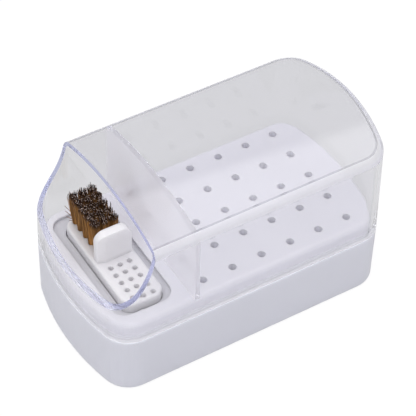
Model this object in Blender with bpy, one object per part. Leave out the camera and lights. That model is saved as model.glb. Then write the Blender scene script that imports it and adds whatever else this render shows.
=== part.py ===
# Nail drill bit storage box: white tray and hole deck, clear cover with an open hood, wire brush.
# Metres, +Z up. The origin is the middle of the footprint, on the surface that the box stands on.
# +X is the box's length, away from the brush end. -Y is its front.

import math
import random

import bmesh
import bpy
from mathutils import Vector

# Overall shape
box_length = 0.0985          # between the crowns of the two bowed ends
box_width = 0.0542
box_height = 0.0569          # crown of the arched cover
end_bow = 0.0047             # how far an end bows out past its corners
corner_radius = 0.009
cover_arch = 0.0041          # rise of the cover's top from its long sides to its middle

# Fits
seat_gap = 0.0003            # between pieces that touch on the real box
cut_overrun = 0.001          # how far a cutter runs past the face it opens
weld_distance = 1e-7

# Facets
corner_facets = 8
bow_facets = 10
edge_facets = 4
hole_facets = 16
small_hole_facets = 10
cut_facets = 14

# Tray
tray_height = 0.0206         # the seam that the cover stands on
tray_wall = 0.0019
tray_floor = 0.002
tray_foot_radius = 0.001
tray_rim_radius = 0.0004
stand_rim = 0.0035           # width of the ring underneath that meets the table
stand_depth = 0.0005         # hollow inside that ring

# Hole deck
deck_height = 0.0266
deck_edge_radius = 0.0013
deck_foot_radius = 0.0006
bit_hole_diameter = 0.0025
bit_hole_depth = 0.018
bit_pitch = 0.010
bit_margin_end = 0.0136      # from the plain end to the last column of bit holes
bit_margin_partition = 0.00545
bit_margin_side = 0.0071
bit_shift_back = 0.0005      # of the whole grid

# Recess for the brush: a shallow dish with a deeper well that the block stands in
dish_depth = 0.0011
dish_corner_radius = 0.0045
dish_margin_left = 0.003
dish_margin_right = 0.0028
dish_margin_front = 0.0012
dish_margin_back = 0.0038
well_depth = 0.005           # below the floor of the dish

# Brush block
block_setback = 0.0162       # of its middle from the box's end
block_shift_front = 0.0006
block_width = 0.0129         # along X
block_length = 0.0378        # along Y
block_rise = 0.0022          # of its top above the deck
block_corner_radius = 0.0036
block_edge_radius = 0.0007
small_hole_diameter = 0.0017
small_hole_depth = 0.0028
small_hole_pitch_x = 0.0031
small_hole_pitch_y = 0.0032
small_hole_columns = 3
small_hole_rows = 5
small_hole_margin = 0.0018   # from the block's front end to the middle of the first row

# Guard that stands on the block between the wires and the holes
guard_height = 0.0108
guard_width = 0.011
guard_thickness = 0.00285
guard_shift_front = 0.0016   # of its front face from the block's middle
guard_corner_radius = 0.0032
guard_bevel_width = 0.0024   # flat shaved off its left front edge
guard_bevel_depth = 0.0009
guard_root = 0.001           # how far it is moulded into the block
guard_left_inset = 0.0009    # from the block's left side

# Wire tufts
tuft_columns = 3
tuft_rows = 5
tuft_pitch_x = 0.0031
tuft_pitch_y = 0.0032
tuft_diameter = 0.0014
tuft_seat_depth = 0.0012     # of the hole that each tuft is pressed into
tuft_disc_thickness = 0.0009
tuft_margin = 0.002          # from the block's back end to the middle of the last row
strands_per_tuft = 26
strand_radius = 0.00009
strand_height = 0.0122       # above the block
strand_uneven = 0.0005
strand_root = 0.0002         # depth of a strand in its disc
strand_sides = 3
brush_spread_share = 0.08    # how much wider the whole brush is at its tips
tuft_spread_share = 1.27     # how much wider one tuft is at its tips
strand_field_share = 0.82    # of the disc's radius that strands fill
strand_tip_share = 0.80      # of a strand's radius that is left at its tip

# Cover
cover_wall = 0.0016
cover_top = 0.0015
cover_edge_radius = 0.0026
cover_draft = 0.0006         # how far the walls lean in between seam and top
partition_setback = 0.02945  # of the wall between compartment and hood, from the box's end
partition_thickness = 0.0015
partition_clearance = 0.0005 # under its lower edge

# Hood: the end of the cover is cut away along one hollow curve, straight across the box.
# The curve starts at the crown, heads for the pull point and ends on the lip.
hood_top_setback = 0.01615   # from the box's end
hood_pull_setback = 0.01515
hood_pull_height = 0.0184    # above the seam
hood_lip_height = 0.0108     # above the seam, at the crown of the bowed end

# Derived places
half_length = box_length / 2
half_width = box_width / 2
left_end = -half_length
bow_radius = (end_bow ** 2 + half_width ** 2) / (2 * end_bow)
arch_radius = (cover_arch ** 2 + half_width ** 2) / (2 * cover_arch)
deck_inset = tray_wall + seat_gap
deck_bottom = tray_floor + seat_gap
cover_bottom = tray_height + seat_gap
dish_floor = deck_height - dish_depth
well_floor = dish_floor - well_depth
partition_x = left_end + partition_setback
bit_first_x = partition_x + bit_margin_partition
bit_last_x = half_length - bit_margin_end
bit_columns = round((bit_last_x - bit_first_x) / bit_pitch) + 1
bit_rows = round((box_width - 2 * bit_margin_side) / bit_pitch) + 1
block_x = left_end + block_setback
block_y = -block_shift_front
block_left = block_x - block_width / 2
block_right = block_x + block_width / 2
block_front = block_y - block_length / 2
block_back = block_y + block_length / 2
block_bottom = well_floor + seat_gap
block_top = deck_height + block_rise
guard_left = block_left + guard_left_inset
guard_front_y = block_y - guard_shift_front
guard_back_y = guard_front_y + guard_thickness
tuft_seat = block_top - tuft_seat_depth
tuft_middle_y = block_back - tuft_margin - tuft_pitch_y * (tuft_rows - 1) / 2


def clear_scene():
    for item in list(bpy.data.objects):
        bpy.data.objects.remove(item, do_unlink=True)


def make_material(name, color, roughness, transmission=0.0, metallic=0.0):
    material = bpy.data.materials.new(name)
    material.use_nodes = True
    shader = material.node_tree.nodes["Principled BSDF"]
    shader.inputs["Base Color"].default_value = (*color, 1.0)
    shader.inputs["Roughness"].default_value = roughness
    shader.inputs["Transmission Weight"].default_value = transmission
    shader.inputs["Metallic"].default_value = metallic
    material.diffuse_color = (*color, 1.0)
    return material


def add_object(name, shape, material=None, smooth_angle=None):
    mesh = bpy.data.meshes.new(name)
    bmesh.ops.remove_doubles(shape, verts=shape.verts, dist=weld_distance)
    bmesh.ops.recalc_face_normals(shape, faces=shape.faces)
    shape.to_mesh(mesh)
    shape.free()
    if material:
        mesh.materials.append(material)
    if smooth_angle:
        mesh.shade_smooth()
        mesh.set_sharp_from_angle(angle=smooth_angle)
    item = bpy.data.objects.new(name, mesh)
    bpy.context.scene.collection.objects.link(item)
    return item


def make_guide(item):
    item.hide_render = True
    item.display_type = 'WIRE'
    return item


def add_boolean(item, other, operation):
    modifier = item.modifiers.new(other.name, 'BOOLEAN')
    modifier.operation = operation
    modifier.solver = 'EXACT'
    modifier.object = other


def arc_points(center, radius, start, end, count):
    """Points on an arc in a plane, both ends included."""
    points = []
    for step in range(count + 1):
        angle = start + (end - start) * step / count
        points.append(Vector((center[0] + radius * math.cos(angle),
                              center[1] + radius * math.sin(angle))))
    return points


def end_outline(inset):
    """The right end of the box seen from above, front to back: corner, bow, corner."""
    bow_x = half_length - bow_radius
    corner_y = half_width - corner_radius
    reach = bow_radius - corner_radius
    corner_x = bow_x + math.sqrt(reach ** 2 - corner_y ** 2)
    turn = math.asin(corner_y / reach)
    radius = corner_radius - inset
    front = arc_points((corner_x, -corner_y), radius, -math.pi / 2, -turn, corner_facets)
    bow = arc_points((bow_x, 0), bow_radius - inset, -turn, turn, bow_facets)
    back = arc_points((corner_x, corner_y), radius, turn, math.pi / 2, corner_facets)
    return front + bow[1:-1] + back


def full_outline(inset):
    right = end_outline(inset)
    left = [Vector((-point.x, point.y)) for point in reversed(right)]
    return right + left


def arch_height(crown, y):
    return crown - arch_radius + math.sqrt(arch_radius ** 2 - y ** 2)


def flat_ring(inset, height):
    return [Vector((point.x, point.y, height)) for point in full_outline(inset)]


def arched_ring(inset, crown, drop):
    """A ring that follows the cover's arch, some way below it."""
    return [Vector((point.x, point.y, arch_height(crown, point.y) - drop))
            for point in full_outline(inset)]


def skin_rings(rings):
    """A closed solid through rings of the box's outline, capped by strips that run along X."""
    shape = bmesh.new()
    loops = [[shape.verts.new(point) for point in ring] for ring in rings]
    count = len(loops[0])
    for lower, upper in zip(loops, loops[1:]):
        for index in range(count):
            after = (index + 1) % count
            shape.faces.new((lower[index], lower[after], upper[after], upper[index]))
    for loop in (loops[0], loops[-1]):
        for index in range(count // 2 - 1):
            mirror = count - 1 - index
            shape.faces.new((loop[index], loop[index + 1], loop[mirror - 1], loop[mirror]))
    return shape


def rounded_edge(radius, inset, height, start, end):
    """Insets and heights along a rounded edge. Angles are measured from the flat wall."""
    steps = []
    for step in range(edge_facets + 1):
        angle = start + (end - start) * step / edge_facets
        steps.append((inset + radius * (1 - math.cos(angle)), height + radius * math.sin(angle)))
    return steps


def rounded_rectangle(left, right, front, back, radius):
    points = []
    quarter = math.pi / 2
    corners = ((right - radius, front + radius, -quarter), (right - radius, back - radius, 0),
               (left + radius, back - radius, quarter), (left + radius, front + radius, 2 * quarter))
    for x, y, start in corners:
        points += arc_points((x, y), radius, start, start + quarter, corner_facets)
    return points


def add_prism(shape, points, bottom, top):
    """Extrude an outline drawn in XY between two heights."""
    base = shape.faces.new([shape.verts.new((point.x, point.y, bottom)) for point in points])
    raised = bmesh.ops.extrude_face_region(shape, geom=[base])
    moved = [part for part in raised["geom"] if isinstance(part, bmesh.types.BMVert)]
    bmesh.ops.translate(shape, verts=moved, vec=(0, 0, top - bottom))


def prism(points, bottom, top):
    shape = bmesh.new()
    add_prism(shape, points, bottom, top)
    return shape


def cross_prism(points, front, back):
    """Extrude an outline drawn in XZ from front to back."""
    shape = prism(points, -back, -front)
    for vertex in shape.verts:
        vertex.co = Vector((vertex.co.x, -vertex.co.z, vertex.co.y))
    return shape


def add_bore(shape, x, y, bottom, top, diameter, facets):
    add_prism(shape, arc_points((x, y), diameter / 2, 0, 2 * math.pi, facets)[:-1], bottom, top)


def grid_places(middle_x, middle_y, columns, rows, pitch_x, pitch_y):
    for row in range(rows):
        for column in range(columns):
            yield (row, column, middle_x + (column - (columns - 1) / 2) * pitch_x,
                   middle_y + (row - (rows - 1) / 2) * pitch_y)


def make_tray(white):
    """Open tray: a standing ring, a rounded foot, a wall with a softened rim, and a floor."""
    foot = rounded_edge(tray_foot_radius, 0, tray_foot_radius, -math.pi / 2, 0)
    rim = rounded_edge(tray_rim_radius, 0, tray_height - tray_rim_radius, 0, math.pi / 2)
    profile = [(stand_rim, stand_depth), (stand_rim, 0)] + foot + rim
    profile += [(tray_wall, tray_height), (tray_wall, tray_floor)]
    shape = skin_rings([flat_ring(inset, height) for inset, height in profile])
    return add_object("base_tray", shape, white, smooth_angle=math.radians(30))


def make_deck(white):
    """The insert that fills the tray, with its bit holes and the recess for the brush."""
    foot = rounded_edge(deck_foot_radius, deck_inset, deck_bottom + deck_foot_radius, -math.pi / 2, 0)
    brow = rounded_edge(deck_edge_radius, deck_inset, deck_height - deck_edge_radius, 0, math.pi / 2)
    shape = skin_rings([flat_ring(inset, height) for inset, height in foot + brow])
    deck = add_object("hole_deck", shape, white, smooth_angle=math.radians(30))

    bores = bmesh.new()
    middle_x = (bit_first_x + bit_last_x) / 2
    for _, _, x, y in grid_places(middle_x, bit_shift_back, bit_columns, bit_rows, bit_pitch, bit_pitch):
        add_bore(bores, x, y, deck_height - bit_hole_depth, deck_height + cut_overrun,
                 bit_hole_diameter, hole_facets)
    add_boolean(deck, make_guide(add_object("bit_hole_cutter", bores)), 'DIFFERENCE')

    dish = rounded_rectangle(block_left - dish_margin_left, block_right + dish_margin_right,
                             block_front - dish_margin_front, block_back + dish_margin_back,
                             dish_corner_radius)
    dish_cutter = add_object("dish_cutter", prism(dish, dish_floor, deck_height + cut_overrun))
    add_boolean(deck, make_guide(dish_cutter), 'DIFFERENCE')

    well = rounded_rectangle(block_left - seat_gap, block_right + seat_gap, block_front - seat_gap,
                             block_back + seat_gap, block_corner_radius + seat_gap)
    well_cutter = add_object("well_cutter", prism(well, well_floor, dish_floor + cut_overrun))
    add_boolean(deck, make_guide(well_cutter), 'DIFFERENCE')
    return deck


def make_guard():
    """Upright plate with rounded upper corners and one shaved edge."""
    right = guard_left + guard_width
    top = block_top + guard_height
    plan = [Vector((guard_left, guard_front_y + guard_bevel_depth)),
            Vector((guard_left + guard_bevel_width, guard_front_y)), Vector((right, guard_front_y)),
            Vector((right, guard_back_y)), Vector((guard_left, guard_back_y))]
    guard = add_object("guard", prism(plan, block_top - guard_root, top + cut_overrun))

    radius = guard_corner_radius
    bottom = block_top - guard_root
    face = [Vector((guard_left, bottom - cut_overrun)), Vector((right, bottom - cut_overrun))]
    face += arc_points((right - radius, top - radius), radius, 0, math.pi / 2, corner_facets)
    face += arc_points((guard_left + radius, top - radius), radius, math.pi / 2, math.pi, corner_facets)
    outline = cross_prism(face, guard_front_y - cut_overrun, guard_back_y + cut_overrun)
    add_boolean(guard, make_guide(add_object("guard_outline", outline)), 'INTERSECT')
    return make_guide(guard)


def make_block(white):
    """Block of the brush: rounded ends, small holes in front, a hole for each tuft at the back."""
    plan = rounded_rectangle(block_left, block_right, block_front, block_back, block_corner_radius)
    shape = prism(plan, block_bottom, block_top)
    rims = [edge for edge in shape.edges if edge.verts[0].co.z == edge.verts[1].co.z]
    bmesh.ops.bevel(shape, geom=rims, offset=block_edge_radius, offset_type='OFFSET', segments=3,
                    profile=0.5, affect='EDGES', clamp_overlap=True)
    block = add_object("brush_block", shape, white, smooth_angle=math.radians(30))
    add_boolean(block, make_guard(), 'UNION')

    holes = bmesh.new()
    middle_y = block_front + small_hole_margin + small_hole_pitch_y * (small_hole_rows - 1) / 2
    for _, _, x, y in grid_places(block_x, middle_y, small_hole_columns, small_hole_rows,
                                  small_hole_pitch_x, small_hole_pitch_y):
        add_bore(holes, x, y, block_top - small_hole_depth, block_top + cut_overrun,
                 small_hole_diameter, small_hole_facets)
    for _, _, x, y in grid_places(block_x, tuft_middle_y, tuft_columns, tuft_rows,
                                  tuft_pitch_x, tuft_pitch_y):
        add_bore(holes, x, y, tuft_seat, block_top + cut_overrun,
                 tuft_diameter + 2 * seat_gap, small_hole_facets)
    add_boolean(block, make_guide(add_object("block_hole_cutter", holes)), 'DIFFERENCE')
    return block


def add_strand(shape, foot, tip):
    """One wire: a thin tapered prism between two points."""
    rings = []
    for place, radius in ((foot, strand_radius), (tip, strand_radius * strand_tip_share)):
        rings.append([shape.verts.new((place.x + radius * math.cos(turn), place.y + radius * math.sin(turn),
                                       place.z))
                      for turn in (2 * math.pi * side / strand_sides for side in range(strand_sides))])
    lower, upper = rings
    shape.faces.new(list(reversed(lower)))
    shape.faces.new(upper)
    for side in range(strand_sides):
        after = (side + 1) % strand_sides
        shape.faces.new((lower[side], lower[after], upper[after], upper[side]))


def make_tuft(row, column, x, y, wire, chance):
    """One bundle of wires, fused to the disc that is pressed into the block."""
    disc_bottom = tuft_seat + seat_gap
    disc_top = disc_bottom + tuft_disc_thickness
    disc = bmesh.new()
    add_bore(disc, x, y, disc_bottom, disc_top, tuft_diameter, hole_facets)
    tuft = add_object(f"tuft_{row + 1}_{column + 1}", disc, wire)

    strands = bmesh.new()
    reach = tuft_diameter / 2 * strand_field_share
    middle = Vector((block_x, tuft_middle_y))
    axis = Vector((x, y))
    leaned = middle + (axis - middle) * (1 + brush_spread_share)
    for index in range(strands_per_tuft):
        distance = reach * math.sqrt((index + 0.5) / strands_per_tuft)
        turn = index * math.pi * (3 - math.sqrt(5))
        offset = Vector((distance * math.cos(turn), distance * math.sin(turn)))
        foot = axis + offset
        tip = leaned + offset * (1 + brush_spread_share) * (1 + tuft_spread_share)
        height = block_top + strand_height - strand_uneven * chance.random()
        add_strand(strands, Vector((foot.x, foot.y, disc_top - strand_root)),
                   Vector((tip.x, tip.y, height)))
    bundle = make_guide(add_object(f"{tuft.name}_strands", strands))
    add_boolean(tuft, bundle, 'UNION')
    return tuft


def make_cover(clear):
    """Thin arched shell, open below, with a partition and an end that is cut away."""
    outer = [flat_ring(0, cover_bottom)]
    for inset, rise in rounded_edge(cover_edge_radius, cover_draft, -cover_edge_radius, 0, math.pi / 2):
        outer.append(arched_ring(inset, box_height, -rise))
    cover = add_object("clear_cover", skin_rings(outer), clear, smooth_angle=math.radians(30))

    inner_radius = cover_edge_radius - cover_wall
    inner = [flat_ring(cover_wall, cover_bottom - cut_overrun)]
    inner_draft = cover_wall + cover_draft
    for inset, rise in rounded_edge(inner_radius, inner_draft, -inner_radius, 0, math.pi / 2):
        inner.append(arched_ring(inset, box_height - cover_top, -rise))
    hollow = add_object("cover_hollow", skin_rings(inner))

    half_wall = partition_thickness / 2
    slab = [Vector((partition_x - half_wall, -half_width)), Vector((partition_x + half_wall, -half_width)),
            Vector((partition_x + half_wall, half_width)), Vector((partition_x - half_wall, half_width))]
    partition = add_object("partition_slab", prism(slab, deck_height + partition_clearance, box_height))
    add_boolean(hollow, make_guide(partition), 'DIFFERENCE')
    add_boolean(cover, make_guide(hollow), 'DIFFERENCE')
    add_boolean(cover, make_guide(add_object("hood_cutter", hood_cutter())), 'DIFFERENCE')
    return cover


def hood_cutter():
    """Everything beyond the curve from the crown to the lip of the bowed end."""
    top = Vector((left_end + hood_top_setback, box_height))
    pull = Vector((left_end + hood_pull_setback, tray_height + hood_pull_height))
    lip = Vector((left_end, tray_height + hood_lip_height))
    above = box_height + cut_overrun
    outline = [Vector((top.x, above))]
    for step in range(cut_facets + 1):
        share = step / cut_facets
        outline.append(top.lerp(pull, share).lerp(pull.lerp(lip, share), share))
    beyond = lip + (lip - pull).normalized() * cut_overrun
    outline += [beyond, Vector((beyond.x, above))]
    return cross_prism(outline, -half_width - cut_overrun, half_width + cut_overrun)


def build():
    clear_scene()
    white = make_material("white_plastic", (0.80, 0.79, 0.83), 0.35)
    block_white = make_material("block_plastic", (0.82, 0.81, 0.83), 0.4)
    clear = make_material("clear_plastic", (0.93, 0.93, 0.97), 0.05, transmission=1.0)
    wire = make_material("brush_wire", (0.30, 0.17, 0.06), 0.4, metallic=0.8)
    make_tray(white)
    make_deck(white)
    make_block(block_white)
    make_cover(clear)
    chance = random.Random(7)
    for row, column, x, y in grid_places(block_x, tuft_middle_y, tuft_columns, tuft_rows,
                                         tuft_pitch_x, tuft_pitch_y):
        make_tuft(row, column, x, y, wire, chance)


build()
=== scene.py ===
# Looks of the nail drill bit storage box: finishes, a smooth clear cover, a full wire brush,
# a pale floor, soft light and the camera. Metres, +Z up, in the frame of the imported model.

import math
import random

import bmesh
import bpy
from mathutils import Matrix, Vector


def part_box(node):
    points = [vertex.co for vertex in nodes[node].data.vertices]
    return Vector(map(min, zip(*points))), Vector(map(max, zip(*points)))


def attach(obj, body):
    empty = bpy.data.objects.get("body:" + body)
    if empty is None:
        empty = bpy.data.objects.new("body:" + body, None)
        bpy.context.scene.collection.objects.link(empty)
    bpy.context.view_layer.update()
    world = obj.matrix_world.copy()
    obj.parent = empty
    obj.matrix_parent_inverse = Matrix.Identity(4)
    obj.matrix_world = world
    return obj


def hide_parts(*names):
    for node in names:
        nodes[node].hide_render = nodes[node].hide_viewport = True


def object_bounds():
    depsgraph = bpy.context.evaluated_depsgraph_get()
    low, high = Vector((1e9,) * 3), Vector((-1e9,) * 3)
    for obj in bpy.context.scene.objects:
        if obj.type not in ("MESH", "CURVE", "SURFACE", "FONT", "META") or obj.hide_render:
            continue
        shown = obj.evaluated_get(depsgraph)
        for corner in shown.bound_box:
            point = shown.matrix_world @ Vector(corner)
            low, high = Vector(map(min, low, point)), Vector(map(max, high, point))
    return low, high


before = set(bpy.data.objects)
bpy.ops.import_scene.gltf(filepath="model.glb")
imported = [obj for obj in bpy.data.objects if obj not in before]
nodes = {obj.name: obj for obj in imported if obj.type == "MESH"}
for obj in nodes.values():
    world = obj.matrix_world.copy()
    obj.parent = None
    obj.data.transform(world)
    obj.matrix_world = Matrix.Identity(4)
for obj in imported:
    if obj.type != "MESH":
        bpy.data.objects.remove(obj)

cadLow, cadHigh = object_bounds()
print("frame loaded,", len(nodes), "nodes")


# Helpers for pieces

def addPiece(name, shape, materials, smoothAngle=None):
    mesh = bpy.data.meshes.new(name)
    shape.to_mesh(mesh)
    shape.free()
    for material in materials:
        mesh.materials.append(material)
    if smoothAngle is not None:
        mesh.shade_smooth()
        mesh.set_sharp_from_angle(angle=math.radians(smoothAngle))
    piece = bpy.data.objects.new(name, mesh)
    bpy.context.scene.collection.objects.link(piece)
    return piece


def applyModifiers(piece):
    depsgraph = bpy.context.evaluated_depsgraph_get()
    depsgraph.update()
    mesh = bpy.data.meshes.new_from_object(piece.evaluated_get(depsgraph))
    piece.modifiers.clear()
    piece.data = mesh


def extrudeAll(shape, along):
    raised = bmesh.ops.extrude_face_region(shape, geom=shape.faces[:])
    moved = [part for part in raised["geom"] if isinstance(part, bmesh.types.BMVert)]
    bmesh.ops.translate(shape, verts=moved, vec=along)


def cutAway(piece, cutter):
    modifier = piece.modifiers.new("cut", 'BOOLEAN')
    modifier.operation = 'DIFFERENCE'
    modifier.solver = 'EXACT'
    modifier.object = cutter
    bpy.context.view_layer.update()
    applyModifiers(piece)
    bpy.data.objects.remove(cutter, do_unlink=True)


# Helpers for materials

noiseSpan = (0.3, 0.7)      # nearly all values of a noise texture lie between these


def startMaterial(name):
    material = bpy.data.materials.new(name)
    material.use_nodes = True
    tree = material.node_tree
    return material, tree, tree.nodes["Principled BSDF"]


def addNode(tree, kind, **values):
    node = tree.nodes.new(kind)
    for key, value in values.items():
        if hasattr(node, key):
            setattr(node, key, value)
        else:
            node.inputs[key.replace("_", " ")].default_value = value
    return node


def feed(tree, socket, value):
    if isinstance(value, bpy.types.NodeSocket):
        tree.links.new(value, socket)
    elif isinstance(value, tuple):
        socket.default_value = (*value, 1)      # a colour
    else:
        socket.default_value = value


def calculate(tree, operation, *values):
    node = addNode(tree, "ShaderNodeMath", operation=operation)
    for socket, value in zip(node.inputs, values):
        feed(tree, socket, value)
    return node.outputs[0]


def mapRange(tree, source, sourceRange, targetRange=(0, 1), kind='LINEAR'):
    node = addNode(tree, "ShaderNodeMapRange", interpolation_type=kind)
    names = ("From Min", "From Max", "To Min", "To Max")
    for name, value in zip(names, (*sourceRange, *targetRange)):
        feed(tree, node.inputs[name], value)
    feed(tree, node.inputs["Value"], source)
    return node.outputs["Result"]


def mixColors(tree, share, first, second):
    node = addNode(tree, "ShaderNodeMix", data_type='RGBA')
    feed(tree, node.inputs["Factor"], share)
    feed(tree, node.inputs["A"], first)
    feed(tree, node.inputs["B"], second)
    return node.outputs["Result"]


def scaleColor(tree, color, amount):
    node = addNode(tree, "ShaderNodeVectorMath", operation='SCALE')
    feed(tree, node.inputs[0], color)
    feed(tree, node.inputs["Scale"], amount)
    return node.outputs[0]


def mixShaders(tree, share, first, second):
    node = addNode(tree, "ShaderNodeMixShader")
    for socket, value in zip(node.inputs, (share, first, second)):
        feed(tree, socket, value)
    return node.outputs[0]


def setSurface(tree, shader):
    tree.links.new(shader, tree.nodes["Material Output"].inputs["Surface"])


def objectParts(tree):
    place = addNode(tree, "ShaderNodeTexCoord")
    parts = addNode(tree, "ShaderNodeSeparateXYZ")
    tree.links.new(place.outputs["Object"], parts.inputs[0])
    return parts.outputs


def objectNoise(tree, scale, detail):
    place = addNode(tree, "ShaderNodeTexCoord")
    noise = addNode(tree, "ShaderNodeTexNoise", Scale=scale, Detail=detail)
    tree.links.new(place.outputs["Object"], noise.inputs["Vector"])
    return noise.outputs["Fac"]


def addBump(tree, shader, height, strength, distance):
    bump = addNode(tree, "ShaderNodeBump", Strength=strength, Distance=distance)
    tree.links.new(height, bump.inputs["Height"])
    tree.links.new(bump.outputs["Normal"], shader.inputs["Normal"])


# White mouldings: the CAD's own meshes with a finish

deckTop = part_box("hole_deck")[1].z
blockRise = 0.0022          # of the block's top above the deck

mouldedWhite = {
    "cloudScale": 45,
    "cloudDetail": 3,
    "grainDetail": 2,
    "grainDepth": 0.00005,
    "refraction": 1.46,
    "glowWeight": 0.6,      # light spreads a little inside the plastic
    "glowReach": 0.0035,
    "recessBlend": 0.0005,  # over which a recess's painted shading blends in
}

trayLook = {
    "color": (0.735, 0.74, 0.82),
    "cloudShade": 0.97,
    "roughness": (0.30, 0.38),
    "grainScale": 2600,
    "grainBump": 0.10,
}

deckLook = {
    "color": (0.705, 0.699, 0.742),
    "cloudShade": 0.97,
    "roughness": (0.34, 0.42),
    "grainScale": 2600,
    "grainBump": 0.10,
    "top": deckTop,
    "heights": (-0.0012, -0.0002),      # painted light: its steep walls, the walls of its holes too, are made paler than its top
    "paintedLightByHeight": (1.17, 1),
    "recess": {                         # painted shade: the dish round the brush is darkened
        "shade": 0.70,
        "below": (0.0007, 0.0002),
        "middle": (-0.0316, 0.0007),
        "reach": (0.0111, 0.0219),
    },
}

blockLook = {
    "color": (0.745, 0.733, 0.755),
    "cloudShade": 0.96,
    "roughness": (0.42, 0.50),
    "grainScale": 2000,
    "grainBump": 0.14,
    "top": deckTop + blockRise,
    "heights": (0.0004, 0.0014),        # painted light: its guard is made a little paler than its top
    "paintedLightByHeight": (1, 1.12),
    "recess": {                         # painted light: its small holes are made paler inside
        "shade": 1.12,
        "below": (0.0009, 0.0002),
        "middle": (-0.03305, -0.0108),
        "reach": (0.0046, 0.0080),
    },
}


# Painted shading in a recess: inside a box below a piece's top the colour is scaled, down as painted shade
# or up as painted light.
def paintShadingInRecess(tree, color, parts, top, recess):
    outside = mapRange(tree, parts["Z"], [top - depth for depth in recess["below"]])
    for axis, middle, reach in zip("XY", recess["middle"], recess["reach"]):
        away = calculate(tree, 'ABSOLUTE', calculate(tree, 'SUBTRACT', parts[axis], middle))
        beyond = mapRange(tree, away, (reach, reach + mouldedWhite["recessBlend"]))
        outside = calculate(tree, 'MAXIMUM', outside, beyond)
    return scaleColor(tree, color, mapRange(tree, outside, (0, 1), (recess["shade"], 1)))


# Painted light: the colour is made paler below or above a piece's top, fading in between two heights.
def paintLightByHeight(tree, color, parts, look):
    heights = [look["top"] + rise for rise in look["heights"]]
    return scaleColor(tree, color, mapRange(tree, parts["Z"], heights, look["paintedLightByHeight"]))


def mouldedPlastic(name, look):
    common = mouldedWhite
    material, tree, shader = startMaterial(name)
    cloud = objectNoise(tree, common["cloudScale"], common["cloudDetail"])
    cloudy = tuple(part * look["cloudShade"] for part in look["color"])
    finish = mixColors(tree, mapRange(tree, cloud, noiseSpan), cloudy, look["color"])
    # painted shade and light: in a recess, and paler walls or guard by height
    if "recess" in look:
        parts = objectParts(tree)
        finish = paintShadingInRecess(tree, finish, parts, look["top"], look["recess"])
        finish = paintLightByHeight(tree, finish, parts, look)
    feed(tree, shader.inputs["Base Color"], finish)
    feed(tree, shader.inputs["Roughness"], mapRange(tree, cloud, noiseSpan, look["roughness"]))
    grain = objectNoise(tree, look["grainScale"], common["grainDetail"])
    addBump(tree, shader, grain, look["grainBump"], common["grainDepth"])
    shader.inputs["IOR"].default_value = common["refraction"]
    shader.inputs["Subsurface Weight"].default_value = common["glowWeight"]
    shader.inputs["Subsurface Radius"].default_value = (1, 1, 1)
    shader.inputs["Subsurface Scale"].default_value = common["glowReach"]
    return material


def dressNode(name, material):
    for slot in nodes[name].material_slots:
        slot.material = material


dressNode("base_tray", mouldedPlastic("trayWhite", trayLook))
dressNode("hole_deck", mouldedPlastic("deckWhite", deckLook))
dressNode("brush_block", mouldedPlastic("blockWhite", blockLook))
print("white mouldings finished")


# Clear cover: the CAD's shell with finer curves and a finish for each kind of face

coverLook = {
    "color": (0.955, 0.955, 0.972),
    "cutColor": (0.46, 0.50, 0.87),
    "cutPale": (0.84, 0.84, 0.95),      # near the lip, where the cut is wide and shallow
    "cutHeights": (0.0318, 0.0365),     # of its pale and its full colour
    "cornerColor": (0.42, 0.46, 0.85),
    "partitionColor": (1.0, 0.99, 1.0),
    # Painted shade: a grey line tinted into the roof where the top edge starts to round.
    "paintedLineColor": (0.62, 0.62, 0.66),
    "milkColor": (0.90, 0.90, 0.93),
    "topEdgeHighlightMilk": 0.30,                # share of milky plastic in each finish: on the top edge a painted highlight, at the foot painted light
    "partitionMilk": 0.45,
    "footPaintedLightShare": 0.36,
    "seatMilk": 0.28,
    "partitionMilkColor": (0.97, 0.96, 1.0),
    "footHeights": (0.0010, 0.0032),    # above the seam, over which the milky foot, painted light over the shade at the deck's foot, fades
    "shadow": (0.965, 0.965, 0.98),
    "guideDepth": 6,
    "refraction": 1.49,
    "roughness": (0.012, 0.030),
    "cutRoughness": (0.14, 0.18),
    "topEdgeRoughness": (0.40, 0.46),
    "partitionRoughness": (0.10, 0.14),
    "seatRoughness": (0.30, 0.36),
    "smudgeScale": 70,
    "smudgeDetail": 4,
    "waveScale": 26,
    "waveDetail": 1,
    "waveBump": 0.02,
    "waveDepth": 0.001,
}

coverForm = {
    "halfLength": cadHigh.x,
    "halfWidth": cadHigh.y,
    "seam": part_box("clear_cover")[0].z,
    "crown": cadHigh.z,
    "endBow": 0.0047,
    "cornerRadius": 0.009,
    "arch": 0.0041,
    "draft": 0.0006,
    "wall": 0.0016,
    "roof": 0.0015,
    "edgeRadius": 0.0026,
    "partitionX": -0.0198,
    "partitionThickness": 0.0015,
    "partitionFoot": 0.0271,
    "hoodTop": (-0.0331, 0.0569),
    "hoodPull": (-0.0341, 0.0390),
    "hoodLip": (-0.04925, 0.0314),
    "rimRound": 0.00025,
    "rimSteps": 2,
    "rimAngle": 50,
    "roundNormals": (0.30, 0.935),      # upward shares of a normal within the rounded top edge
    "paintedRoofLine": (5e-6, 8e-5),           # depths below the crown at which the roof's last faces lie, where a grey line is painted
    "edgeSteps": 7,
    "cornerSteps": 14,
    "bowSteps": 24,
    "hoodSteps": 36,
    "strips": 44,
    "overrun": 0.001,
    "onPlane": 1e-7,
    "weld": 1e-6,
    "cutWeld": 2e-6,                    # after the cuts
    "sameFace": 1e-5,                   # a face nearer to a plane than this lies in it
}

facingUp = 0.5              # least upward share of a normal of a face that faces up
coverFinishes = ["clear", "cut", "partition", "topEdge", "seat", "corner", "paintedRoofLine"]


# Painted light: a milky share near the seam lightens the shade seen at the deck's foot through the wall.
def paintedLightAtFoot(tree):
    heights = [coverForm["seam"] + rise for rise in coverLook["footHeights"]]
    return mapRange(tree, objectParts(tree)["Z"], heights, (coverLook["footPaintedLightShare"], 0), 'SMOOTHSTEP')


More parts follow.
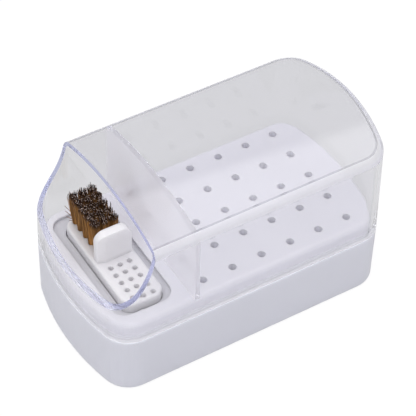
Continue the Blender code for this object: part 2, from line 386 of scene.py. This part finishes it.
def clearPlastic(name, color, roughness, milk=0, milkColor=coverLook["milkColor"], paintedLightFoot=False):
    look = coverLook
    material, tree, shader = startMaterial(name)
    shader.inputs["Base Color"].default_value = (*color, 1)
    shader.inputs["Transmission Weight"].default_value = 1.0
    shader.inputs["IOR"].default_value = look["refraction"]
    smudge = objectNoise(tree, look["smudgeScale"], look["smudgeDetail"])
    feed(tree, shader.inputs["Roughness"], mapRange(tree, smudge, noiseSpan, roughness))
    wave = objectNoise(tree, look["waveScale"], look["waveDetail"])
    addBump(tree, shader, wave, look["waveBump"], look["waveDepth"])
    finish = shader.outputs[0]
    # The milky share: on the top edge a painted highlight, at the foot of the wall painted light.
    if milk or paintedLightFoot:
        share = paintedLightAtFoot(tree) if paintedLightFoot else milk
        milky = addNode(tree, "ShaderNodeBsdfDiffuse", Color=(*milkColor, 1))
        finish = mixShaders(tree, share, finish, milky.outputs[0])
    # Light that only passes through on its way to the inside goes straight, and light caught
    # between the faces of a wall leaves it after a few turns.
    path = addNode(tree, "ShaderNodeLightPath").outputs
    inward = calculate(tree, 'MAXIMUM', path["Is Shadow Ray"], path["Is Diffuse Ray"])
    caught = calculate(tree, 'GREATER_THAN', path["Ray Depth"], look["guideDepth"])
    passing = calculate(tree, 'MAXIMUM', inward, caught)
    straight = addNode(tree, "ShaderNodeBsdfTransparent", Color=(*look["shadow"], 1))
    setSurface(tree, mixShaders(tree, passing, finish, straight.outputs[0]))
    return material


def paleAtLip(material):
    look = coverLook
    tree = material.node_tree
    height = mapRange(tree, objectParts(tree)["Z"], look["cutHeights"])
    tint = mixColors(tree, height, look["cutPale"], look["cutColor"])
    feed(tree, tree.nodes["Principled BSDF"].inputs["Base Color"], tint)


def coverOutline(shape, inset, height):
    # The right half runs from the front over the bowed end to the back, and is mirrored to the left.
    form = coverForm
    bow = (form["endBow"] ** 2 + form["halfWidth"] ** 2) / (2 * form["endBow"])
    bowX = form["halfLength"] - bow
    cornerY = form["halfWidth"] - form["cornerRadius"]
    reach = bow - form["cornerRadius"]
    cornerX = bowX + math.sqrt(reach ** 2 - cornerY ** 2)
    turn = math.asin(cornerY / reach)
    last = shape.verts.new((cornerX, inset - form["halfWidth"], height))
    sweeps = (((cornerX, -cornerY, height), math.pi / 2 - turn, form["cornerSteps"]),
              ((bowX, 0, height), 2 * turn, form["bowSteps"]),
              ((cornerX, cornerY, height), math.pi / 2 - turn, form["cornerSteps"]))
    for centre, angle, steps in sweeps:
        swept = bmesh.ops.spin(shape, geom=[last], cent=centre, axis=(0, 0, 1), angle=angle, steps=steps)
        last = swept["geom_last"][0]
    bmesh.ops.mirror(shape, geom=shape.verts[:] + shape.edges[:], axis='X', merge_dist=-1)
    ends = [vert for vert in shape.verts if len(vert.link_edges) == 1]
    for side in (-1, 1):
        bmesh.ops.contextual_create(shape, geom=[vert for vert in ends if vert.co.y * side > 0])
    bmesh.ops.edgeloop_fill(shape, edges=shape.edges[:])


def archDrop(y):
    form = coverForm
    radius = (form["arch"] ** 2 + form["halfWidth"] ** 2) / (2 * form["arch"])
    return radius - math.sqrt(radius ** 2 - y ** 2)


def archedBox(inset, bottom, top, edgeRadius):
    form = coverForm
    shape = bmesh.new()
    coverOutline(shape, inset, bottom)
    extrudeAll(shape, (0, 0, top - bottom))
    rim = [edge for edge in shape.edges if all(vert.co.z > top - form["weld"] for vert in edge.verts)]
    bmesh.ops.bevel(shape, geom=rim, offset=edgeRadius, offset_type='OFFSET', profile=0.5,
                    segments=form["edgeSteps"], affect='EDGES', material=-1, clamp_overlap=True)
    for strip in range(1, form["strips"]):
        y = form["halfWidth"] * (2 * strip / form["strips"] - 1)
        bmesh.ops.bisect_plane(shape, geom=shape.verts[:] + shape.edges[:] + shape.faces[:],
                               plane_co=(0, y, 0), plane_no=(0, 1, 0), dist=form["onPlane"])
    for vert in shape.verts:
        # The arch and the draft grow from nothing at the seam to their full size at the crown.
        share = max(0.0, (vert.co.z - form["seam"]) / (form["crown"] - form["seam"]))
        vert.co.z -= archDrop(vert.co.y) * share
        vert.co.x *= 1 - form["draft"] * share / form["halfLength"]
        vert.co.y *= 1 - form["draft"] * share / form["halfWidth"]
    bmesh.ops.remove_doubles(shape, verts=shape.verts, dist=form["weld"])
    bmesh.ops.recalc_face_normals(shape, faces=shape.faces)
    return shape


def slab(low, high):
    shape = bmesh.new()
    middle = (Vector(low) + Vector(high)) / 2
    size = Vector(high) - Vector(low)
    place = Matrix.Translation(middle) @ Matrix.Diagonal((*size, 1))
    bmesh.ops.create_cube(shape, size=1, matrix=place)
    return shape


def hoodCut():
    form = coverForm
    top, pull, lip = (Vector((x, 0, z)) for x, z in (form["hoodTop"], form["hoodPull"], form["hoodLip"]))
    above = form["crown"] + form["overrun"]
    shape = bmesh.new()
    line = [shape.verts.new((top.x, 0, above))]
    for step in range(form["hoodSteps"] + 1):
        share = step / form["hoodSteps"]
        line.append(shape.verts.new(top.lerp(pull, share).lerp(pull.lerp(lip, share), share)))
    beyond = lip + (lip - pull).normalized() * form["overrun"]
    line += [shape.verts.new(beyond), shape.verts.new((beyond.x, 0, above))]
    shape.faces.new(line)
    reach = form["halfWidth"] + form["overrun"]
    bmesh.ops.translate(shape, verts=shape.verts, vec=(0, -reach, 0))
    extrudeAll(shape, (0, 2 * reach, 0))
    bmesh.ops.recalc_face_normals(shape, faces=shape.faces)
    for face in shape.faces:
        face.material_index = coverFinishes.index("cut")    # which it leaves on the rim
    return shape


def unarchedHeight(point):
    # The height that a point had before the arch lowered it.
    form = coverForm
    y = point.y / (1 - form["draft"] / form["halfWidth"])
    drop = archDrop(max(-form["halfWidth"], min(form["halfWidth"], y))) / (form["crown"] - form["seam"])
    return (point.z - drop * form["seam"]) / (1 - drop)


def setFinishes(shape):
    form = coverForm
    near = form["sameFace"]
    lineTop, lineFoot = form["paintedRoofLine"]
    roundLow, roundHigh = form["roundNormals"]
    shape.normal_update()
    for face in shape.faces:
        if face.material_index == coverFinishes.index("cut"):
            continue
        middle = face.calc_center_median()
        finish = "clear"
        if middle.z < form["seam"] + near:
            finish = "seat"
        elif abs(abs(middle.x - form["partitionX"]) - form["partitionThickness"] / 2) < near:
            finish = "partition"
        # a painted grey line along the roof where the top edge begins
        elif face.normal.z > facingUp and lineTop < form["crown"] - unarchedHeight(middle) < lineFoot:
            finish = "paintedRoofLine"
        elif roundLow < face.normal.z < roundHigh:
            finish = "topEdge"
        face.material_index = coverFinishes.index(finish)


def finishesOfCover():
    look = coverLook
    made = {
        "clear": clearPlastic("coverClear", look["color"], look["roughness"], paintedLightFoot=True),
        "cut": clearPlastic("coverCutEdge", look["cutColor"], look["cutRoughness"]),
        "partition": clearPlastic("coverPartition", look["partitionColor"], look["partitionRoughness"],
                                  look["partitionMilk"], look["partitionMilkColor"]),
        # Its milky share is a painted highlight along the rounded top edge.
        "topEdge": clearPlastic("coverTopEdge", look["color"], look["topEdgeRoughness"],
                                look["topEdgeHighlightMilk"]),
        "seat": clearPlastic("coverSeat", look["color"], look["seatRoughness"], look["seatMilk"]),
        "corner": clearPlastic("coverCorner", look["cornerColor"], look["cutRoughness"]),
        "paintedRoofLine": clearPlastic("coverPaintedRoofLine", look["paintedLineColor"], look["cutRoughness"]),
    }
    paleAtLip(made["cut"])
    return [made[finish] for finish in coverFinishes]


def hollowOut(cover, finishes):
    form = coverForm
    inner = archedBox(form["wall"], form["seam"] - form["overrun"], form["crown"] - form["roof"],
                      form["edgeRadius"] - form["wall"])
    hollow = addPiece("coverHollow", inner, finishes[:1])
    half = form["partitionThickness"] / 2
    wide = form["halfWidth"] + form["overrun"]
    divider = slab((form["partitionX"] - half, -wide, form["partitionFoot"]),
                   (form["partitionX"] + half, wide, form["crown"] + form["overrun"]))
    cutAway(hollow, addPiece("coverDivider", divider, finishes[:1]))
    cutAway(cover, hollow)


def cleanAndFinish(cover):
    form = coverForm
    shape = bmesh.new()
    shape.from_mesh(cover.data)
    bmesh.ops.remove_doubles(shape, verts=shape.verts, dist=form["cutWeld"])
    bmesh.ops.dissolve_degenerate(shape, dist=form["weld"], edges=shape.edges)
    setFinishes(shape)
    shape.to_mesh(cover.data)
    shape.free()


def roundRim(cover):
    form = coverForm
    rounding = cover.modifiers.new("rounding", 'BEVEL')
    rounding.limit_method = 'ANGLE'
    rounding.angle_limit = math.radians(form["rimAngle"])
    rounding.width = form["rimRound"]
    rounding.segments = form["rimSteps"]
    rounding.material = coverFinishes.index("corner")
    applyModifiers(cover)
    cover.data.shade_smooth()
    cover.data.set_sharp_from_angle(angle=math.radians(form["rimAngle"]))
    flats = cover.modifiers.new("flats", 'WEIGHTED_NORMAL')
    flats.keep_sharp = True


def buildCover():
    form = coverForm
    finishes = finishesOfCover()
    cover = addPiece("coverShell", archedBox(0, form["seam"], form["crown"], form["edgeRadius"]), finishes)
    hollowOut(cover, finishes)
    cutAway(cover, addPiece("coverHoodCut", hoodCut(), finishes))
    cleanAndFinish(cover)
    roundRim(cover)
    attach(cover, "cover")
    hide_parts("clear_cover")


buildCover()
print("clear cover built")


# Wire brush: each tuft of the CAD made fuller, with the same outline

brushForm = {
    "middle": (-0.03305, 0.0099),      # of all the tufts
    "columns": 3,
    "rows": 5,
    "pitch": (0.0031, 0.0032),
    "tilt": (-0.0005, 0.0),            # how far the tips stand to one side
    "seat": 0.0281,
    "tip": 0.0410,
    "footRadius": 0.00072,
    "tipRadius": 0.00142,
    "strands": 92,
    "strandRadius": 0.000095,
    "strandSides": 5,
    "strandTaper": 0.85,
    "strandAngle": 40,
    "uneven": 0.0016,
    "lean": 0.00042,
    "tallShare": 0.09,
    "tallRise": 0.0016,
    "seed": 11,
    "strayTuft": (4, 0),
    "strayTone": 0.2,
    "strays": (((-0.0006, 0.0002, 0.0310), (-0.0026, 0.0012, 0.0338)),
               ((-0.0007, -0.0004, 0.0305), (-0.0029, 0.0003, 0.0325)),
               ((-0.0005, 0.0006, 0.0320), (-0.0022, 0.0022, 0.0348)),
               ((-0.0007, -0.0002, 0.0300), (-0.0025, -0.0009, 0.0316))),
}

wireLook = {
    "light": (0.66, 0.34, 0.10),
    "dark": (0.17, 0.080, 0.022),
    "tipDark": (0.024, 0.007, 0.003),
    "darkHeights": (0.0384, 0.0401),
    "metal": 0.1,
    "roughness": 0.5,
    "shine": 0.25,
    "endGlintColor": (0.95, 0.76, 0.68),
    "glintTones": (0.42, 0.68),       # the ends of strands above these tones get a painted glint
    "endMetal": 0.3,
    "endRoughness": 0.35,
}


def strandTone(tree):
    return addNode(tree, "ShaderNodeAttribute", attribute_name="tone").outputs["Fac"]


def wireSides():
    look = wireLook
    material, tree, shader = startMaterial("brushWire")
    strand = mixColors(tree, strandTone(tree), look["dark"], look["light"])
    height = mapRange(tree, objectParts(tree)["Z"], look["darkHeights"])
    feed(tree, shader.inputs["Base Color"], mixColors(tree, height, strand, look["tipDark"]))
    shader.inputs["Metallic"].default_value = look["metal"]
    shader.inputs["Roughness"].default_value = look["roughness"]
    shader.inputs["Specular IOR Level"].default_value = look["shine"]
    return material


# Painted glints: the ends of the brightest strands are given a pale colour.
def wireEnds():
    look = wireLook
    material, tree, shader = startMaterial("brushWireEnds")
    glint = mapRange(tree, strandTone(tree), look["glintTones"])
    feed(tree, shader.inputs["Base Color"], mixColors(tree, glint, look["tipDark"], look["endGlintColor"]))
    shader.inputs["Metallic"].default_value = look["endMetal"]
    shader.inputs["Roughness"].default_value = look["endRoughness"]
    return material


def addStrand(shape, layer, foot, tip, tone):
    form = brushForm
    along = tip - foot
    place = Matrix.Translation((foot + tip) / 2) @ along.to_track_quat('Z', 'Y').to_matrix().to_4x4()
    made = bmesh.ops.create_cone(shape, cap_ends=True, segments=form["strandSides"],
                                 radius1=form["strandRadius"],
                                 radius2=form["strandRadius"] * form["strandTaper"],
                                 depth=along.length, matrix=place)
    for vert in made["verts"]:
        vert[layer] = tone
    for face in {face for vert in made["verts"] for face in vert.link_faces}:
        if len(face.verts) == form["strandSides"] and face.normal.z > facingUp:
            face.material_index = 1     # the strand's end


def buildTuft(row, column, materials, chance):
    form = brushForm
    axis = Vector(form["middle"]) + Vector(((column - (form["columns"] - 1) / 2) * form["pitch"][0],
                                            (row - (form["rows"] - 1) / 2) * form["pitch"][1]))
    top = axis + Vector(form["tilt"])
    shape = bmesh.new()
    layer = shape.verts.layers.float.new("tone")
    for index in range(form["strands"]):
        share = math.sqrt((index + 0.5) / form["strands"])
        turn = index * math.pi * (3 - math.sqrt(5))     # the golden angle spreads them evenly
        ray = Vector((math.cos(turn), math.sin(turn))) * share
        lean = Vector((chance.uniform(-1, 1), chance.uniform(-1, 1))) * form["lean"]
        foot = axis + ray * form["footRadius"]
        tip = top + ray * form["tipRadius"] + lean
        height = form["tip"] - form["uneven"] * chance.random()
        if chance.random() < form["tallShare"]:
            height += form["tallRise"] * chance.random()
        addStrand(shape, layer, Vector((foot.x, foot.y, form["seat"])), Vector((tip.x, tip.y, height)),
                  chance.random())
    if (row, column) == form["strayTuft"]:
        for foot, tip in form["strays"]:
            addStrand(shape, layer, axis.to_3d() + Vector(foot), axis.to_3d() + Vector(tip),
                      form["strayTone"])
    tuft = addPiece(f"wireTuft{row + 1}{column + 1}", shape, materials, form["strandAngle"])
    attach(tuft, "brush")
    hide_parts(f"tuft_{row + 1}_{column + 1}")


def buildBrush():
    materials = [wireSides(), wireEnds()]
    chance = random.Random(brushForm["seed"])
    for row in range(brushForm["rows"]):
        for column in range(brushForm["columns"]):
            buildTuft(row, column, materials, chance)


buildBrush()
print("wire brush built")


# Floor, light and camera

studio = {
    "floorSize": 4.0,
    "floorColor": (0.72, 0.72, 0.73),
    "floorShadow": 0.20,
    "floorGlow": 1.09,
    "floorThrough": 0.71,
    "worldLevel": 0.46,
    "worldSeen": 1.0,
    "worldThrough": 0.68,
    "worldColor": (0.985, 0.985, 1.0),
    "boxColor": (1.0, 0.995, 1.0),
    "boxHeight": 1.0,
    "boxMiddle": (-0.36, -0.353),
    "boxSize": (2.59, 2.2),
    "boxTurn": 44,
    "boxLevel": 1.72,
    "boxSoft": 0.09,
}

shot = {
    "place": (-0.197574, -0.306760, 0.410052),
    "turn": -32.729,
    "rise": 46.12,
    "roll": 1.951,
    "focalPixels": 1776.4,
    "framePixels": 416,
    "sensorWidth": 36.0,
    "clip": (0.01, 10),
}


def seenLevel(tree, ambient, direct, through):
    # One level where the camera sees it, one in or through the plastic, and the ambient level elsewhere.
    path = addNode(tree, "ShaderNodeLightPath").outputs
    inPlastic = calculate(tree, 'MAXIMUM', path["Is Glossy Ray"], path["Is Transmission Ray"])
    level = mapRange(tree, inPlastic, (0, 1), (ambient, through))
    level = mapRange(tree, path["Is Camera Ray"], (0, 1), (level, direct))
    return level, calculate(tree, 'MAXIMUM', path["Is Camera Ray"], inPlastic)


def buildFloor():
    shape = bmesh.new()
    bmesh.ops.create_grid(shape, x_segments=1, y_segments=1, size=studio["floorSize"] / 2)
    material, tree, shader = startMaterial("paleFloor")
    shader.inputs["Base Color"].default_value = (*studio["floorColor"], 1)
    shader.inputs["Roughness"].default_value = 1.0
    shader.inputs["Specular IOR Level"].default_value = 0.0
    level, seen = seenLevel(tree, 0.0, studio["floorGlow"], studio["floorThrough"])
    glow = addNode(tree, "ShaderNodeEmission")
    feed(tree, glow.inputs["Strength"], level)
    # The seen floor glows evenly, and a share of its true shading keeps the shadow.
    shaded = mixShaders(tree, 1 - studio["floorShadow"], shader.outputs[0], glow.outputs[0])
    setSurface(tree, mixShaders(tree, seen, shader.outputs[0], shaded))
    addPiece("floor", shape, [material])


def buildWorld():
    world = bpy.data.worlds.new("studioWorld")
    world.use_nodes = True
    tree = world.node_tree
    back = tree.nodes["Background"]
    back.inputs["Color"].default_value = (*studio["worldColor"], 1)
    level = seenLevel(tree, studio["worldLevel"], studio["worldSeen"], studio["worldThrough"])[0]
    feed(tree, back.inputs["Strength"], level)
    bpy.context.scene.world = world


def softboxPanel():
    shape = bmesh.new()
    bmesh.ops.create_grid(shape, x_segments=1, y_segments=1, size=0.5)      # one metre square
    place = (Matrix.Translation((*studio["boxMiddle"], studio["boxHeight"]))
             @ Matrix.Rotation(math.radians(studio["boxTurn"]), 4, 'Z')
             @ Matrix.Rotation(math.pi, 4, 'X')
             @ Matrix.Diagonal((*studio["boxSize"], 1, 1)))
    bmesh.ops.transform(shape, matrix=place, verts=shape.verts)
    return shape


def softboxGlow():
    material, tree = startMaterial("softboxGlow")[:2]
    where = addNode(tree, "ShaderNodeTexCoord")
    turned = addNode(tree, "ShaderNodeMapping", vector_type='TEXTURE')
    turned.inputs["Location"].default_value = (*studio["boxMiddle"], 0)
    turned.inputs["Rotation"].default_value = (0, 0, math.radians(studio["boxTurn"]))
    parts = addNode(tree, "ShaderNodeSeparateXYZ")
    tree.links.new(where.outputs["Object"], turned.inputs["Vector"])
    tree.links.new(turned.outputs["Vector"], parts.inputs[0])
    fades = []
    for axis, size in zip("XY", studio["boxSize"]):
        away = calculate(tree, 'ABSOLUTE', parts.outputs[axis])
        edge = (size / 2, size / 2 - 2 * studio["boxSoft"])
        fades.append(mapRange(tree, away, edge, (0, 1), 'SMOOTHSTEP'))
    both = calculate(tree, 'MULTIPLY', *fades)
    glow = addNode(tree, "ShaderNodeEmission", Color=(*studio["boxColor"], 1))
    feed(tree, glow.inputs["Strength"], calculate(tree, 'MULTIPLY', both, studio["boxLevel"]))
    # Beyond its soft edge the box lets the room show through.
    beyond = addNode(tree, "ShaderNodeBsdfTransparent")
    setSurface(tree, mixShaders(tree, both, beyond.outputs[0], glow.outputs[0]))
    return material


def buildCamera():
    data = bpy.data.cameras.new("photoCamera")
    data.sensor_width = shot["sensorWidth"]
    data.lens = data.sensor_width * shot["focalPixels"] / shot["framePixels"]
    data.clip_start, data.clip_end = shot["clip"]
    camera = bpy.data.objects.new("photoCamera", data)
    bpy.context.scene.collection.objects.link(camera)
    camera.matrix_world = (Matrix.Translation(shot["place"])
                           @ Matrix.Rotation(math.radians(shot["turn"]), 4, 'Z')
                           @ Matrix.Rotation(math.radians(90 - shot["rise"]), 4, 'X')
                           @ Matrix.Rotation(math.radians(shot["roll"]), 4, 'Z'))
    bpy.context.scene.camera = camera


buildFloor()
buildWorld()
addPiece("softbox", softboxPanel(), [softboxGlow()])
buildCamera()
bpy.context.scene.view_settings.view_transform = 'Standard'
# Light turns many times in the clear walls before it leaves them.
bpy.context.scene.cycles.max_bounces = 32
bpy.context.scene.cycles.transmission_bounces = 32
bpy.context.scene.cycles.glossy_bounces = 16
bpy.context.scene.cycles.transparent_max_bounces = 24
print("floor, light and camera set")
